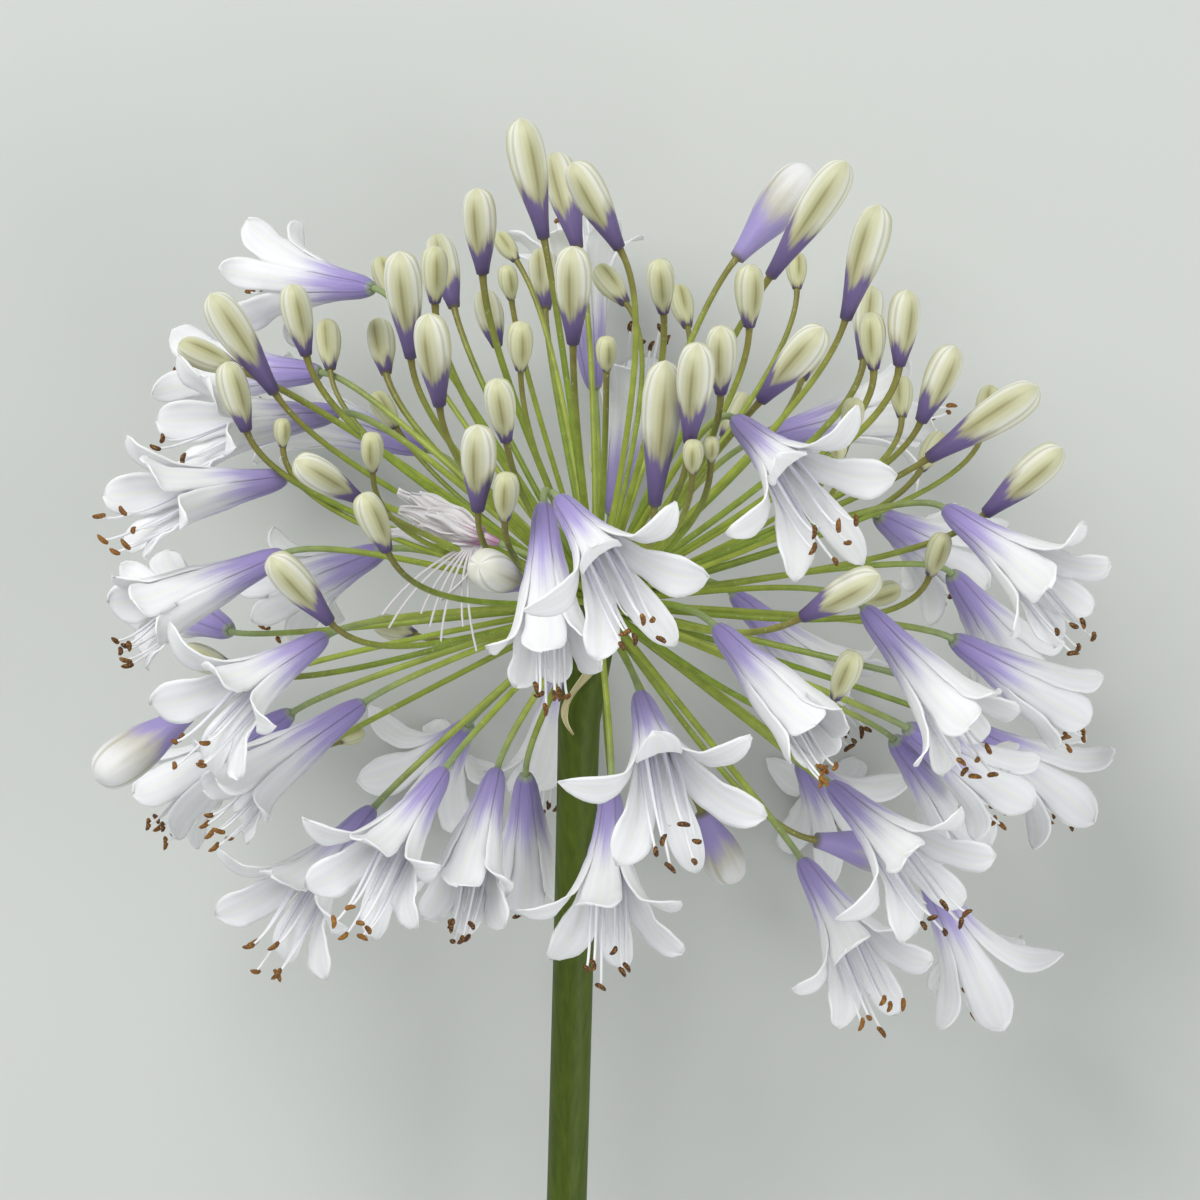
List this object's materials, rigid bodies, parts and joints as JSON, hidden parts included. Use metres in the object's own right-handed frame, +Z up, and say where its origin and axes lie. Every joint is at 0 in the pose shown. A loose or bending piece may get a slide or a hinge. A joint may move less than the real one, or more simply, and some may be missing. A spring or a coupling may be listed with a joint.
{
  "type": "agapanthus plant",
  "caption": "cut agapanthus flower head on its round stalk, lying on a surface: slim pedicels spread from one hub to white funnel flowers with violet tubes and to cream buds",
  "frame": {"origin": "centre of the bounding box in X and Y, on the surface that the cut flower lies on", "axes": "+Y runs along the stalk from its cut end to the flower head, +Z is up from the surface, +X goes across the head"},
  "size_m": [0.2178, 0.3854, 0.1854],
  "materials": {
    "stalk": "satin",
    "tepal": "matte",
    "bud": "satin",
    "faded_tepal": "matte",
    "dry_sheath": "matte"
  },
  "bodies": {
    "root": {"stalk": "stalk", "bloom_01": "tepal", "bloom_02": "tepal", "bloom_03": "tepal", "bloom_04": "tepal", "bloom_05": "tepal", "bloom_06": "tepal", "bloom_07": "tepal", "bloom_08": "tepal", "bloom_09": "tepal", "bloom_10": "tepal", "bloom_11": "tepal", "bloom_12": "tepal", "bloom_13": "tepal", "bloom_14": "tepal", "bloom_15": "tepal", "bloom_16": "tepal", "bloom_17": "tepal", "bloom_18": "tepal", "bloom_19": "tepal", "bloom_20": "tepal", "bloom_21": "tepal", "bloom_22": "tepal", "bloom_23": "tepal", "bloom_24": "tepal", "bloom_25": "tepal", "bloom_26": "tepal", "bloom_27": "tepal", "bloom_28": "tepal", "bloom_29": "tepal", "bloom_30": "tepal", "bloom_31": "tepal", "bloom_32": "tepal", "bloom_33": "tepal", "bloom_34": "tepal", "bloom_35": "tepal", "bloom_36": "tepal", "bloom_37": "tepal", "bloom_38": "tepal", "bloom_39": "tepal", "bud_01": "bud", "bud_02": "bud", "bud_03": "bud", "bud_04": "bud", "bud_05": "bud", "bud_06": "bud", "bud_07": "bud", "bud_08": "bud", "bud_09": "bud", "bud_10": "bud", "bud_11": "bud", "bud_12": "bud", "bud_13": "bud", "bud_14": "bud", "bud_15": "bud", "bud_16": "bud", "bud_17": "bud", "bud_18": "bud", "wilted_bloom": "faded_tepal", "spathe_remnant": "dry_sheath"}
  },
  "joints": []
}
